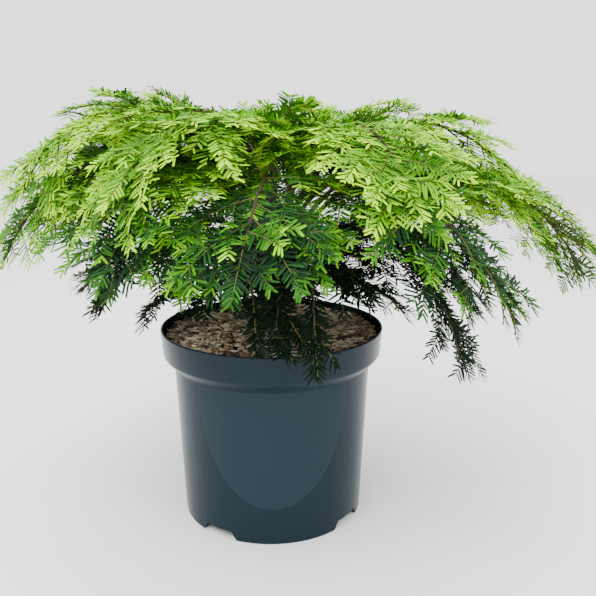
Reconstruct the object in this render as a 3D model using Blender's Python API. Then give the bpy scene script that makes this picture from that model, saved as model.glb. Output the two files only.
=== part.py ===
"""A jeddeloh eastern hemlock in its round nursery pot, as separate solids.

Metres, +Z up. The origin is the middle of the pot's flat underside. +X is the right-hand side and
-Y is the front. Azimuths are in degrees from +X, turning through +Y, which is the back.
"""

import math
import random

import bmesh
import bpy
from mathutils import Vector
from mathutils.bvhtree import BVHTree

# Pot, a 20 cm round container with an overhanging collar
RIM_RADIUS = 0.1000
POT_HEIGHT = 0.1740
BASE_RADIUS = 0.0821
BODY_TOP_RADIUS = 0.0885
BODY_TOP = 0.1405
COLLAR_RADIUS = 0.0983
COLLAR_BOTTOM = 0.1525
SHOULDER_HEIGHT = 0.0085
WALL = 0.0015
FLOOR = 0.0020
EDGE = 0.0008
POT_SIDES = 36

# Recesses between the pot's four feet, each with a drain hole in its ceiling
RECESSES = 4
RECESS_AZIMUTH = -126.0
RECESS_HEIGHT = 0.0080
RECESS_INNER = 0.0620
RECESS_HALF_WIDTH = 0.0185
RECESS_SLANT = 0.0045
DRAIN_RADIUS = 0.0045
DRAIN_DISTANCE = 0.0715

# Soil
SOIL_EDGE = 0.1650
SOIL_MIDDLE = 0.1700
SOIL_FLAT = 0.0190

# Space left between neighbouring solids, and the room that a spray needs round it
GAP = 0.0003
ROOM = 0.0008

# Corners nearer than this after a cut or a union are one corner
WELD = 0.000004

# Trunk
TRUNK_FOOT = SOIL_MIDDLE + GAP
TRUNK_HEIGHT = 0.0760
TRUNK_LEAN = 0.0050
TRUNK_LEAN_AZIMUTH = 20.0
TRUNK_SIDES = 10
FLARE_LOBES = 3
FLARE_DEPTH = 0.16
# share of the height, radius
TRUNK_TAPER = (
    (0.00, 0.0165),
    (0.06, 0.0130),
    (0.17, 0.0108),
    (0.40, 0.0094),
    (0.72, 0.0080),
    (1.00, 0.0062),
)

# Limbs: a bough is the bare first part of a limb, and its foliage grows on from the bough's tip
BOUGH_SIDES = 5
BOUGH_RINGS = 5
BOUGH_ROOT_RADIUS = 0.0024
BOUGH_TIP_RADIUS = 0.0015
STEM_SIDES = 3
STEM_RINGS = 7
STEM_ROOT_RADIUS = 0.0015
STEM_TIP_RADIUS = 0.0009
STEM_END = 0.86
ROOT_STAGGER = 0.0060

# Sprays
TWIG_SPACING = 0.0085
TWIG_STEP = 5
TOOTH_PITCH = 0.0290
TOOTH_REACH = 0.0180
NOTCH_REACH = 0.0032
TOOTH_SWEEP = 0.45
SPRAY_NECK = 0.0060
SPRAY_SINK = 0.0008
TIP_SINK = 0.0040
SPRAY_HALF_THICKNESS = 0.0008

# Tiers of limbs. Reach, arch and tip are given for eight directions in 45 degree steps from the
# right: right, back right, back, back left, left, front left, front, front right.
TIERS = {
    "crest": {
        "count": 7,
        "azimuth": -110.0,
        "root": 0.2300,
        "bare": 0.26,
        "leafy": 0.26,
        "twig": 0.085,
        "arch": (0.352, 0.352, 0.356, 0.362, 0.364, 0.362, 0.352, 0.350),
        "reach": (0.215, 0.205, 0.200, 0.205, 0.215, 0.200, 0.185, 0.200),
        "tip": (0.305, 0.310, 0.310, 0.316, 0.318, 0.300, 0.290, 0.290),
    },
    "heart": {
        "count": 3,
        "azimuth": 20.0,
        "root": 0.2330,
        "bare": 0.0,
        "leafy": 0.42,
        "twig": 0.060,
        "arch": (0.344, 0.344, 0.346, 0.350, 0.350, 0.350, 0.346, 0.344),
        "reach": (0.080, 0.080, 0.080, 0.080, 0.080, 0.080, 0.080, 0.080),
        "tip": (0.338, 0.338, 0.340, 0.344, 0.344, 0.344, 0.340, 0.338),
    },
    "shoulder": {
        "count": 10,
        "azimuth": -128.0,
        "root": 0.2070,
        "bare": 0.33,
        "leafy": 0.33,
        "twig": 0.092,
        "arch": (0.320, 0.320, 0.322, 0.328, 0.332, 0.324, 0.312, 0.312),
        "reach": (0.275, 0.258, 0.250, 0.258, 0.250, 0.220, 0.195, 0.235),
        "tip": (0.230, 0.225, 0.225, 0.235, 0.240, 0.226, 0.240, 0.226),
    },
    "skirt": {
        "count": 8,
        "azimuth": -155.0,
        "root": 0.1880,
        "bare": 0.33,
        "leafy": 0.33,
        "twig": 0.075,
        "arch": (0.262, 0.256, 0.252, 0.252, 0.254, 0.252, 0.252, 0.256),
        "reach": (0.215, 0.195, 0.185, 0.190, 0.175, 0.160, 0.125, 0.155),
        "tip": (0.160, 0.155, 0.158, 0.168, 0.200, 0.196, 0.188, 0.134),
    },
    "inner": {
        "count": 4,
        "azimuth": -88.0,
        "root": 0.1770,
        "bare": 0.0,
        "leafy": 0.2,
        "twig": 0.048,
        "arch": (0.214, 0.212, 0.210, 0.210, 0.210, 0.212, 0.212, 0.214),
        "reach": (0.120, 0.115, 0.115, 0.115, 0.115, 0.115, 0.115, 0.125),
        "tip": (0.182, 0.184, 0.186, 0.186, 0.186, 0.184, 0.182, 0.182),
    },
}


class Limb:
    """One arching limb: where it starts on the trunk, how high it arches and where it hangs to."""

    def __init__(self, tier, number, sizes):
        rule = random.Random(f"{tier}:{number}")
        turn = 360.0 / sizes["count"]
        self.name = f"{tier}_{number + 1}"
        self.azimuth = sizes["azimuth"] + turn * (number + rule.uniform(-0.10, 0.10))
        self.sweep = rule.choice((-1, 1)) * rule.uniform(7.0, 13.0)
        self.root = sizes["root"] + ROOT_STAGGER * ((number * 2) % 3)
        tip_azimuth = self.azimuth + self.sweep
        self.arch = compass(sizes["arch"], tip_azimuth)
        self.reach = compass(sizes["reach"], tip_azimuth)
        self.tip = compass(sizes["tip"], tip_azimuth)
        self.bare = sizes["bare"]
        self.leafy = sizes["leafy"]
        self.twig = sizes["twig"]

    def point(self, t):
        """A point at share t of the limb's curve, a cubic that rises, arches and hangs."""
        crown = (self.arch - 0.125 * (self.root + self.tip)) / 0.75
        start = trunk_radius(self.root) + GAP + BOUGH_ROOT_RADIUS
        distance = cubic(t, start, 0.16 * self.reach, 0.78 * self.reach, self.reach)
        height = cubic(t, self.root, crown, crown, self.tip)
        angle = math.radians(self.azimuth + self.sweep * t * t)
        across = Vector((math.cos(angle), math.sin(angle), 0.0)) * distance
        return across + trunk_centre(self.root) * (1.0 - t) ** 3 + Vector((0.0, 0.0, height))

    def frame(self, t):
        """The curve's direction, its level side direction and its upper side at share t."""
        step = 0.004
        ahead = (self.point(min(t + step, 1.0)) - self.point(max(t - step, 0.0))).normalized()
        side = ahead.cross(Vector((0.0, 0.0, 1.0))).normalized()
        return ahead, side, side.cross(ahead)

    def length_table(self, first, last, steps=120):
        """Shares of the curve and the length run up to each of them."""
        shares = [first + (last - first) * i / steps for i in range(steps + 1)]
        lengths = [0.0]
        for before, after in zip(shares, shares[1:]):
            lengths.append(lengths[-1] + (self.point(after) - self.point(before)).length)
        return shares, lengths

    def twigs(self, step):
        """Seeded side twigs along the leafy part: share, root, direction, length and droop."""
        shares, lengths = self.length_table(self.leafy, STEM_END)
        count = int(lengths[-1] / TWIG_SPACING)
        for number in range(2, count, step):
            rule = random.Random(f"{self.name}:{number}")
            run = (number + 0.5) / count
            share = look_up(run * lengths[-1], lengths, shares)
            ahead, side, up = self.frame(share)
            hand = 1.0 if (number // step) % 2 else -1.0
            angle = math.radians(rule.uniform(42.0, 60.0))
            lift = rule.uniform(-0.30, 0.35)
            towards = math.cos(angle) * ahead + hand * math.sin(angle) * side + lift * up
            length = self.twig * (0.35 + 0.65 * (1.0 - run) ** 0.8) * rule.uniform(0.85, 1.15)
            droop = rule.uniform(0.10, 0.30)
            yield share, stem_point(self, share), towards.normalized(), up, length, droop


def cubic(t, a, b, c, d):
    """A cubic Bezier value."""
    s = 1.0 - t
    return s * s * s * a + 3.0 * s * s * t * b + 3.0 * s * t * t * c + t * t * t * d


def look_up(value, inputs, outputs):
    """A value read from a table by straight lines between its rows."""
    for i in range(1, len(inputs)):
        if value <= inputs[i]:
            share = (value - inputs[i - 1]) / (inputs[i] - inputs[i - 1])
            return outputs[i - 1] + share * (outputs[i] - outputs[i - 1])
    return outputs[-1]


def compass(values, azimuth):
    """A size for one direction, read between the eight that are given."""
    step = 360.0 / len(values)
    place = (azimuth % 360.0) / step
    first = int(place) % len(values)
    return values[first] + (place - int(place)) * (values[(first + 1) % len(values)] - values[first])


def trunk_centre(height):
    """How far the leaning trunk's middle lies from the pot's axis at a height."""
    angle = math.radians(TRUNK_LEAN_AZIMUTH)
    offset = TRUNK_LEAN * max(0.0, height - TRUNK_FOOT) / TRUNK_HEIGHT
    return Vector((math.cos(angle) * offset, math.sin(angle) * offset, 0.0))


def trunk_radius(height):
    """The trunk's radius at a height."""
    shares, radii = zip(*TRUNK_TAPER)
    return look_up((height - TRUNK_FOOT) / TRUNK_HEIGHT, shares, radii)


def clear_scene():
    """Remove every object that a new file starts with."""
    for item in list(bpy.data.objects):
        bpy.data.objects.remove(item, do_unlink=True)


def material(name, colour, roughness, metallic=0.0):
    """A Principled material in one colour."""
    made = bpy.data.materials.new(name)
    made.use_nodes = True
    shader = made.node_tree.nodes["Principled BSDF"]
    shader.inputs["Base Color"].default_value = (*colour, 1.0)
    shader.inputs["Roughness"].default_value = roughness
    shader.inputs["Metallic"].default_value = metallic
    made.diffuse_color = (*colour, 1.0)
    return made


def make_object(name, shape, finish=None):
    """An object from vertices and faces, with its faces turned outwards."""
    points, faces = shape
    mesh = bpy.data.meshes.new(name)
    work = bmesh.new()
    corners = [work.verts.new(point) for point in points]
    for face in faces:
        work.faces.new([corners[i] for i in face])
    bmesh.ops.recalc_face_normals(work, faces=work.faces)
    work.to_mesh(mesh)
    work.free()
    made = bpy.data.objects.new(name, mesh)
    bpy.context.scene.collection.objects.link(made)
    if finish:
        mesh.materials.append(finish)
    return made


def shade_smooth(item, angle):
    """Smooth shading that keeps edges sharper than the angle."""
    item.data.shade_smooth()
    item.data.set_sharp_from_angle(angle=math.radians(angle))


def combine(item, other, operation):
    """Cut one object with another, or join them, and remove the other."""
    change = item.modifiers.new(operation, "BOOLEAN")
    change.operation = operation
    change.object = other
    apply_modifiers(item)
    bpy.data.objects.remove(other, do_unlink=True)


def apply_modifiers(item):
    """Put the evaluated shape in place of the object's mesh."""
    graph = bpy.context.evaluated_depsgraph_get()
    shape = bpy.data.meshes.new_from_object(item.evaluated_get(graph))
    item.modifiers.clear()
    item.data = shape


def drop_scraps(work):
    """Remove every piece of a mesh that isn't joined to the largest one by an edge."""
    pieces = []
    seen = set()
    for start in work.faces:
        if start in seen:
            continue
        piece = {start}
        border = [start]
        while border:
            for edge in border.pop().edges:
                for face in edge.link_faces:
                    if face not in piece:
                        piece.add(face)
                        border.append(face)
        seen |= piece
        pieces.append(piece)
    pieces.sort(key=len)
    for piece in pieces[:-1]:
        bmesh.ops.delete(work, geom=list(piece), context="FACES")


def weld(item):
    """Merge corners that a cut left almost on each other, and say whether the shape is closed."""
    work = bmesh.new()
    work.from_mesh(item.data)
    bmesh.ops.remove_doubles(work, verts=work.verts, dist=WELD)
    drop_scraps(work)
    closed = all(edge.is_manifold for edge in work.edges)
    if closed:
        work.to_mesh(item.data)
    work.free()
    return closed


def turned(profile, sides):
    """A closed solid turned from (radius, height) points, the first and last on the axis."""
    points = [(0.0, 0.0, profile[0][1])]
    faces = []
    for radius, height in profile[1:-1]:
        for i in range(sides):
            angle = 2.0 * math.pi * i / sides
            points.append((radius * math.cos(angle), radius * math.sin(angle), height))
    points.append((0.0, 0.0, profile[-1][1]))
    rings = len(profile) - 2
    for i in range(sides):
        after = (i + 1) % sides
        faces.append((0, 1 + after, 1 + i))
        for ring in range(rings - 1):
            low = 1 + ring * sides
            high = low + sides
            faces.append((low + i, low + after, high + after, high + i))
        last = 1 + (rings - 1) * sides
        faces.append((last + i, last + after, len(points) - 1))
    return points, faces


def tube(centres, frames, radii, sides):
    """A closed tapering tube with flat ends along points that have a frame each."""
    points = []
    faces = []
    for centre, (_, side, up), radius in zip(centres, frames, radii):
        for i in range(sides):
            angle = 2.0 * math.pi * i / sides + 0.5 * math.pi
            points.append(centre + radius * (math.cos(angle) * side + math.sin(angle) * up))
    for ring in range(len(centres) - 1):
        low = ring * sides
        for i in range(sides):
            after = (i + 1) % sides
            faces.append((low + i, low + after, low + sides + after, low + sides + i))
    faces.append(tuple(range(sides)))
    faces.append(tuple(range(len(points) - sides, len(points))))
    return points, faces


def inner_profile(inset):
    """The pot's inside from its floor up to its rim, drawn in by an inset."""
    step = WALL + inset
    return [
        (BASE_RADIUS - step, FLOOR + inset),
        (BODY_TOP_RADIUS - step, BODY_TOP + WALL),
        (COLLAR_RADIUS - 2 * EDGE - step, BODY_TOP + SHOULDER_HEIGHT + WALL),
        (COLLAR_RADIUS - step, COLLAR_BOTTOM + WALL),
        (RIM_RADIUS - step, POT_HEIGHT - EDGE),
    ]


def recess_shape(azimuth, growth):
    """The wedge-sided space between two feet, enlarged by the thickness of what surrounds it."""
    angle = math.radians(azimuth)
    out = Vector((math.cos(angle), math.sin(angle), 0.0))
    side = Vector((-math.sin(angle), math.cos(angle), 0.0))
    bottom = -0.01
    top = RECESS_HEIGHT + growth
    slope = RECESS_SLANT / RECESS_HEIGHT
    points = []
    for distance in (RECESS_INNER - growth, RIM_RADIUS):
        for height in (bottom, top):
            half = RECESS_HALF_WIDTH + growth - slope * (height - growth)
            for hand in (-1, 1):
                points.append(out * distance + side * (hand * half) + Vector((0.0, 0.0, height)))
    faces = [(0, 1, 3, 2), (4, 6, 7, 5), (0, 4, 5, 1), (2, 3, 7, 6), (0, 2, 6, 4), (1, 5, 7, 3)]
    return points, faces


def recess_azimuths():
    """The direction of each recess."""
    return [RECESS_AZIMUTH + 360.0 * i / RECESSES for i in range(RECESSES)]


def drain_shape(azimuth):
    """A round cutter through a recess's ceiling."""
    angle = math.radians(azimuth)
    middle = Vector((math.cos(angle), math.sin(angle), 0.0)) * DRAIN_DISTANCE
    low = RECESS_HEIGHT - FLOOR
    high = RECESS_HEIGHT + 2.0 * FLOOR
    profile = [(0.0, low), (DRAIN_RADIUS, low), (DRAIN_RADIUS, high), (0.0, high)]
    points, faces = turned(profile, 12)
    return [Vector(point) + middle for point in points], faces


def make_pot(finish):
    """The pot: a body with a stepped collar, hollowed, and recessed between its feet."""
    outer = [
        (0.0, 0.0),
        (BASE_RADIUS - EDGE, 0.0),
        (BASE_RADIUS, EDGE),
        (BODY_TOP_RADIUS, BODY_TOP),
        (COLLAR_RADIUS - 2 * EDGE, BODY_TOP + SHOULDER_HEIGHT),
        (COLLAR_RADIUS, COLLAR_BOTTOM),
        (RIM_RADIUS, POT_HEIGHT - EDGE),
        (RIM_RADIUS - EDGE, POT_HEIGHT),
        (0.0, POT_HEIGHT),
    ]
    above = POT_HEIGHT + 0.01
    hollow = [(0.0, FLOOR), *inner_profile(0.0), (RIM_RADIUS - WALL, above), (0.0, above)]
    pot = make_object("pot", turned(outer, POT_SIDES), finish)
    cavity = make_object("cavity", turned(hollow, POT_SIDES))
    for azimuth in recess_azimuths():
        combine(cavity, make_object("block", recess_shape(azimuth, FLOOR)), "DIFFERENCE")
    combine(pot, cavity, "DIFFERENCE")
    for azimuth in recess_azimuths():
        combine(pot, make_object("recess", recess_shape(azimuth, 0.0)), "DIFFERENCE")
        combine(pot, make_object("drain", drain_shape(azimuth)), "DIFFERENCE")
    weld(pot)
    shade_smooth(pot, 35)
    return pot


def make_soil(finish):
    """The soil that fills the pot, a little below its rim and slightly raised in the middle."""
    sides = inner_profile(GAP)[:-1]
    wall_top = inner_profile(GAP)[-1]
    climb = (SOIL_EDGE - sides[-1][1]) / (wall_top[1] - sides[-1][1])
    edge_radius = sides[-1][0] + climb * (wall_top[0] - sides[-1][0])
    profile = [(0.0, FLOOR + GAP), *sides, (edge_radius, SOIL_EDGE)]
    for share in (0.25, 0.60):
        radius = edge_radius + share * (SOIL_FLAT - edge_radius)
        rise = math.sin(0.5 * math.pi * share)
        profile.append((radius, SOIL_EDGE + rise * (SOIL_MIDDLE - SOIL_EDGE)))
    profile += [(SOIL_FLAT, SOIL_MIDDLE), (0.0, SOIL_MIDDLE)]
    soil = make_object("soil", turned(profile, POT_SIDES), finish)
    for azimuth in recess_azimuths():
        block = make_object("block", recess_shape(azimuth, FLOOR + GAP))
        combine(soil, block, "DIFFERENCE")
    shade_smooth(soil, 35)
    return soil


def make_trunk(finish):
    """The short trunk: a flat cut on the soil, a lobed root flare, a lean and a taper."""
    centres = []
    rings = []
    for share, radius in TRUNK_TAPER:
        height = TRUNK_FOOT + share * TRUNK_HEIGHT
        centres.append(trunk_centre(height) + Vector((0.0, 0.0, height)))
        rings.append((radius, FLARE_DEPTH * (1.0 - share) ** 6))
    points = []
    faces = []
    for centre, (radius, lobes) in zip(centres, rings):
        for i in range(TRUNK_SIDES):
            angle = 2.0 * math.pi * i / TRUNK_SIDES
            out = radius * (1.0 + lobes * math.cos(FLARE_LOBES * angle + 0.6))
            points.append(centre + Vector((math.cos(angle), math.sin(angle), 0.0)) * out)
    for ring in range(len(rings) - 1):
        low = ring * TRUNK_SIDES
        for i in range(TRUNK_SIDES):
            after = (i + 1) % TRUNK_SIDES
            upper = low + TRUNK_SIDES
            faces.append((low + i, low + after, upper + after, upper + i))
    faces.append(tuple(range(TRUNK_SIDES)))
    faces.append(tuple(range(len(points) - TRUNK_SIDES, len(points))))
    trunk = make_object("trunk", (points, faces), finish)
    shade_smooth(trunk, 50)
    return trunk


def limb_tube(limb, first, last, radii, rings, sides):
    """The closed tube of a limb between two shares of its curve."""
    shares = [first + (last - first) * i / (rings - 1) for i in range(rings)]
    sizes = [radii[0] + (radii[1] - radii[0]) * i / (rings - 1) for i in range(rings)]
    centres = [limb.point(share) for share in shares]
    return tube(centres, [limb.frame(share) for share in shares], sizes, sides)


def bough_shape(limb):
    """The bare bough from the trunk to where it enters its foliage."""
    radii = (BOUGH_ROOT_RADIUS, BOUGH_TIP_RADIUS)
    return limb_tube(limb, 0.0, limb.bare, radii, BOUGH_RINGS, BOUGH_SIDES)


def stem_start(limb):
    """The share of the limb's curve where its stem starts, clear of the bough's tip."""
    step = 0.01
    speed = (limb.point(limb.bare + step) - limb.point(limb.bare)).length / step
    return limb.bare + GAP / speed if limb.bare else 0.0


def stem_point(limb, share):
    """A point on the stem's straight runs between its rings."""
    first = stem_start(limb)
    run = (STEM_END - first) / (STEM_RINGS - 1)
    ring = min(int((share - first) / run), STEM_RINGS - 2)
    low = limb.point(first + ring * run)
    high = limb.point(first + (ring + 1) * run)
    return low.lerp(high, (share - first) / run - ring)


def stem_shape(limb):
    """The stem of a mass of foliage."""
    radii = (STEM_ROOT_RADIUS, STEM_TIP_RADIUS)
    return limb_tube(limb, stem_start(limb), STEM_END, radii, STEM_RINGS, STEM_SIDES)


def spray_shape(root, ahead, up, length, droop, margin=0.0):
    """A flat spray of needles: a blade toothed along both sides and thickest at its midrib."""
    teeth = max(3, round(length / TOOTH_PITCH))
    pitch = (length - SPRAY_NECK) / (teeth + 0.7)
    side = ahead.cross(up).normalized()
    over = side.cross(ahead).normalized()
    points = []
    faces = []

    def place(along, across, above):
        fall = droop * length * (along / length) ** 2
        middle = root + ahead * along - Vector((0.0, 0.0, fall))
        points.append(middle + side * across + over * above)
        return len(points) - 1

    def ring(along, half, thick):
        return (
            place(along, -half, 0.0),
            place(along, 0.0, thick),
            place(along, half, 0.0),
            place(along, 0.0, -thick),
        )

    notch = NOTCH_REACH + margin
    thick = SPRAY_HALF_THICKNESS + margin
    first = ring(-SPRAY_SINK, 0.4 * notch, 0.8 * thick)
    faces.append(first)
    now = ring(SPRAY_NECK, notch, thick)
    for i in range(4):
        after = (i + 1) % 4
        faces.append((first[i], first[after], now[after], now[i]))
    for tooth in range(teeth):
        share = (tooth + 1.0) / teeth
        along = SPRAY_NECK + (tooth + 1) * pitch
        reach = TOOTH_REACH * (0.70 + 0.60 * share - 0.75 * share * share) + margin
        then = ring(along, notch * (1.0 - 0.45 * share), thick * (1.0 - 0.4 * share))
        for hand, outline in ((-1.0, 0), (1.0, 2)):
            tip = place(along + TOOTH_SWEEP * pitch, hand * reach, 0.0)
            for ridge in (1, 3):
                faces.append((now[ridge], now[outline], tip))
                faces.append((now[ridge], tip, then[outline]))
                faces.append((now[ridge], then[outline], then[ridge]))
        now = then
    end = place(length + margin, 0.0, 0.0)
    for i in range(4):
        faces.append((now[i], now[(i + 1) % 4], end))
    return points, faces


def tip_spray(limb):
    """The sizes of the spray that carries a limb on from its stem to its tip."""
    ahead, _, up = limb.frame(STEM_END)
    root = limb.point(STEM_END) - ahead * TIP_SINK
    along = (limb.point(1.0) - root).dot(ahead)
    fall = (root + ahead * along - limb.point(1.0)).z
    return root, ahead, up, along, max(0.0, fall / along)


def tree_of(shape):
    """A search tree of a shape's faces."""
    return BVHTree.FromPolygons([Vector(point) for point in shape[0]], shape[1])


def tree_of_object(item):
    """A search tree of an object's faces."""
    corners = [corner.co.copy() for corner in item.data.vertices]
    return BVHTree.FromPolygons(corners, [tuple(face.vertices) for face in item.data.polygons])


def choose_sprays(limbs, solids):
    """Each limb's sprays, the outermost first, skipping those that would touch something."""
    stems = {limb.name: tree_of(stem_shape(limb)) for limb in limbs}
    boughs = {limb.name: tree_of(bough_shape(limb)) for limb in limbs if limb.bare}
    fixed = [tree_of_object(item) for item in solids] + list(boughs.values())
    wanted = []
    for limb in limbs:
        wanted.append((1.0, limb, tip_spray(limb)))
        for share, root, towards, above, length, droop in limb.twigs(TWIG_STEP):
            wanted.append((share, limb, (root, towards, above, length, droop)))
    wanted.sort(key=lambda row: (-row[0], row[1].name))
    chosen = {limb.name: [] for limb in limbs}
    taken = []
    for _, limb, sizes in wanted:
        room = tree_of(spray_shape(*sizes, margin=ROOM))
        others = [tree for name, tree in stems.items() if name != limb.name]
        if any(room.overlap(tree) for tree in fixed + others + taken):
            continue
        chosen[limb.name].append(spray_shape(*sizes))
        taken.append(tree_of(spray_shape(*sizes)))
    return chosen


def join_mass(limb, sprays, finish):
    """One solid mass of foliage: its stem and its sprays, fused by one union."""
    mass = make_object(f"foliage_{limb.name}", stem_shape(limb), finish)
    group = bpy.data.collections.new("sprays")
    for shape in sprays:
        spray = make_object("spray", shape)
        bpy.context.scene.collection.objects.unlink(spray)
        group.objects.link(spray)
    stem = mass.data
    for solver in ("EXACT", "MANIFOLD"):
        mass.data = stem
        union = mass.modifiers.new("union", "BOOLEAN")
        union.operation = "UNION"
        union.operand_type = "COLLECTION"
        union.collection = group
        union.solver = solver
        apply_modifiers(mass)
        if weld(mass):
            break
    for spray in list(group.objects):
        bpy.data.objects.remove(spray, do_unlink=True)
    bpy.data.collections.remove(group)
    return mass


def build():
    """Build the whole potted plant."""
    clear_scene()
    pot_finish = material("pot_plastic", (0.027, 0.054, 0.078), 0.35)
    soil_finish = material("potting_soil", (0.045, 0.030, 0.018), 0.95)
    bark_finish = material("bark", (0.110, 0.062, 0.034), 0.85)
    foliage_finish = material("needles", (0.130, 0.330, 0.045), 0.55)
    pot = make_pot(pot_finish)
    soil = make_soil(soil_finish)
    trunk = make_trunk(bark_finish)
    limbs = [
        Limb(tier, number, sizes)
        for tier, sizes in TIERS.items()
        for number in range(sizes["count"])
    ]
    for limb in limbs:
        if limb.bare:
            bough = make_object(f"bough_{limb.name}", bough_shape(limb), bark_finish)
            shade_smooth(bough, 60)
    chosen = choose_sprays(limbs, (pot, soil, trunk))
    for limb in limbs:
        join_mass(limb, chosen[limb.name], foliage_finish)


build()
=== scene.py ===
"""The looks of a jeddeloh eastern hemlock in its nursery pot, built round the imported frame.

Metres, +Z up, -Y is the front. Azimuths run from +X and turn through the back. Angles are in
degrees, or in radians where a comment says so.
A share runs from 0 at the root of a limb or a shoot to 1 at its tip. Most pairs of numbers are
ranges from which each piece draws its own value. Colours are linear.
"""

import math
import random
from collections import namedtuple

import bmesh
import bpy
import numpy as np
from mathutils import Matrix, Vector


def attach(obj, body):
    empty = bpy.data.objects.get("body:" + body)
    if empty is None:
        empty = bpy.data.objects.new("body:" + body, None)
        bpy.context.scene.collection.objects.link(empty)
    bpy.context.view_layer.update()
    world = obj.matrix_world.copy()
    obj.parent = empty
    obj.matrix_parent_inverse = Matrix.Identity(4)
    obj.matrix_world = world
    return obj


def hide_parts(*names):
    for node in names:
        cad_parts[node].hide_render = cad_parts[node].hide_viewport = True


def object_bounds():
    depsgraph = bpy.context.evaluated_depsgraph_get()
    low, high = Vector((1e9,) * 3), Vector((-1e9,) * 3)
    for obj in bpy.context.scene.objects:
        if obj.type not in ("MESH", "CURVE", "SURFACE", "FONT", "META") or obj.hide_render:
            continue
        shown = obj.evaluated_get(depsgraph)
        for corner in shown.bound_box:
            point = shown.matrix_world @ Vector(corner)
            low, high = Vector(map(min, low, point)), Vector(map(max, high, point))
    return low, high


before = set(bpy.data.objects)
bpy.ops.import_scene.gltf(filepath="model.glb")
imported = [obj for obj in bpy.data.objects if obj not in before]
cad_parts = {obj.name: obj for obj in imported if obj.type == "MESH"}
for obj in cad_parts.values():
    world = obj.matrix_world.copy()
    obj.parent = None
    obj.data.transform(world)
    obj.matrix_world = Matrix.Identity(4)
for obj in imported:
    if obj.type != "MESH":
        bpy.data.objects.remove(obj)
CAD_LOW, CAD_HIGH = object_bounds()

UP = np.array([0.0, 0.0, 1.0])

# Camera, fitted to the pot's rim, collar and foot: angles in radians, lens and sensor in millimetres
CAMERA_PLACE = (0.0, -0.6528, 0.3576)
CAMERA_PITCH = 0.240
CAMERA_YAW = 0.0364
CAMERA_LENS = 44.97
CAMERA_SENSOR = 36.0

# Studio: each light's place, target, size and power
LIGHTS = {
    "key": ((-0.5, -0.9, 1.5), (0.0, 0.0, 0.25), 0.9, 30.0),
    "side": ((1.2, -0.7, 0.9), (0.0, 0.0, 0.2), 0.8, 6.0),
    "top": ((0.0, 0.3, 1.6), (0.0, 0.0, 0.3), 1.2, 12.0),
}
WORLD_COLOUR = (1.0, 1.0, 1.0)
WORLD_STRENGTH = 2.2
STAGE_HALF = 4.0
STAGE_COLOUR = (0.90, 0.90, 0.90)
STAGE_ROUGHNESS = 0.9

# Pot: the insets of its profile's corners are multiples of the edge
RIM_RADIUS = 0.1000
POT_HEIGHT = 0.1740
BASE_RADIUS = 0.0821
BODY_TOP_RADIUS = 0.0885
BODY_TOP = 0.1405
BODY_LIP = 0.0006
BODY_LIP_HEIGHT = 0.0009
COLLAR_RADIUS = 0.0983
COLLAR_BOTTOM = 0.1525
COLLAR_BEND = 0.0016
SHOULDER_HEIGHT = 0.0085
WALL = 0.0015
FLOOR = 0.0020
EDGE = 0.0008
EDGE_INSET = 0.3
COLLAR_INSET = 0.4
SHOULDER_INSET = 2.0
POT_SIDES = 144
SHARP_ANGLE = 24.0
RECESSES = 4
RECESS_AZIMUTH = -126.0
RECESS_HEIGHT = 0.0080
RECESS_INNER = 0.0620
RECESS_HALF_WIDTH = 0.0185
RECESS_SLANT = 0.0045
CUT_ROOM = 0.01

# Pot's finish: a matt half-oval panel on glossy plastic, with a half angle in radians
PANEL_BOTTOM = 0.0340
PANEL_TOP = 0.1400
PANEL_HALF_ANGLE = 0.80
PANEL_COLOUR = (0.010, 0.022, 0.030)
PANEL_MATT = 0.20
POT_COLOUR = (0.006, 0.014, 0.021)
POT_ROUGHNESS = 0.24
POT_GLOSS = 0.10
POT_GRAIN_SCALE = 60.0
POT_GRAIN_DETAIL = 6.0
POT_GRAIN_TONE = 0.25
POT_GRAIN_BUMP = 0.05
POT_GRAIN_DEPTH = 0.0004

# Soil
SOIL_EDGE = 0.1650
SOIL_MIDDLE = 0.1700
SOIL_FLAT = 0.0190
SOIL_RADIUS = 0.0960
SOIL_DARK = (0.008, 0.006, 0.004)
SOIL_PALE = (0.060, 0.038, 0.022)
SOIL_SCALE = 220.0
SOIL_ROUGHNESS = 1.0
SOIL_BUMP = 1.0

# Mulch: chip widths are shares of their lengths, tilts are in radians, and each shade has its share
# of the chips
CHIPS = 2600
CHIP_LENGTHS = (0.0030, 0.0190)
CHIP_WIDTHS = (0.10, 0.40)
CHIP_THICKNESSES = (0.0005, 0.0016)
CHIP_HEIGHTS = (0.0008, 0.0042)
CHIP_TILTS = (-0.35, 0.35)
CHIP_CORNERS = (0.55, 1.0)
CHIP_FACES = ((0, 6, 4, 2), (1, 3, 5, 7), (0, 2, 3, 1), (2, 4, 5, 3), (4, 6, 7, 5), (6, 0, 1, 7))
CHIP_POINTS = 8
CHIP_SEED = 11
CHIP_DARKENING = 0.6
CHIP_SCALE = 400.0
CHIP_ROUGHNESS = 0.9
CHIP_BUMP = 0.4
MULCH_SHADES = (
    ("mulch_dark", 0.12, (0.110, 0.070, 0.045)),
    ("mulch_brown", 0.28, (0.380, 0.240, 0.140)),
    ("mulch_tan", 0.34, (0.740, 0.580, 0.390)),
    ("mulch_pale", 0.26, (0.900, 0.820, 0.660)),
)

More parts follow.
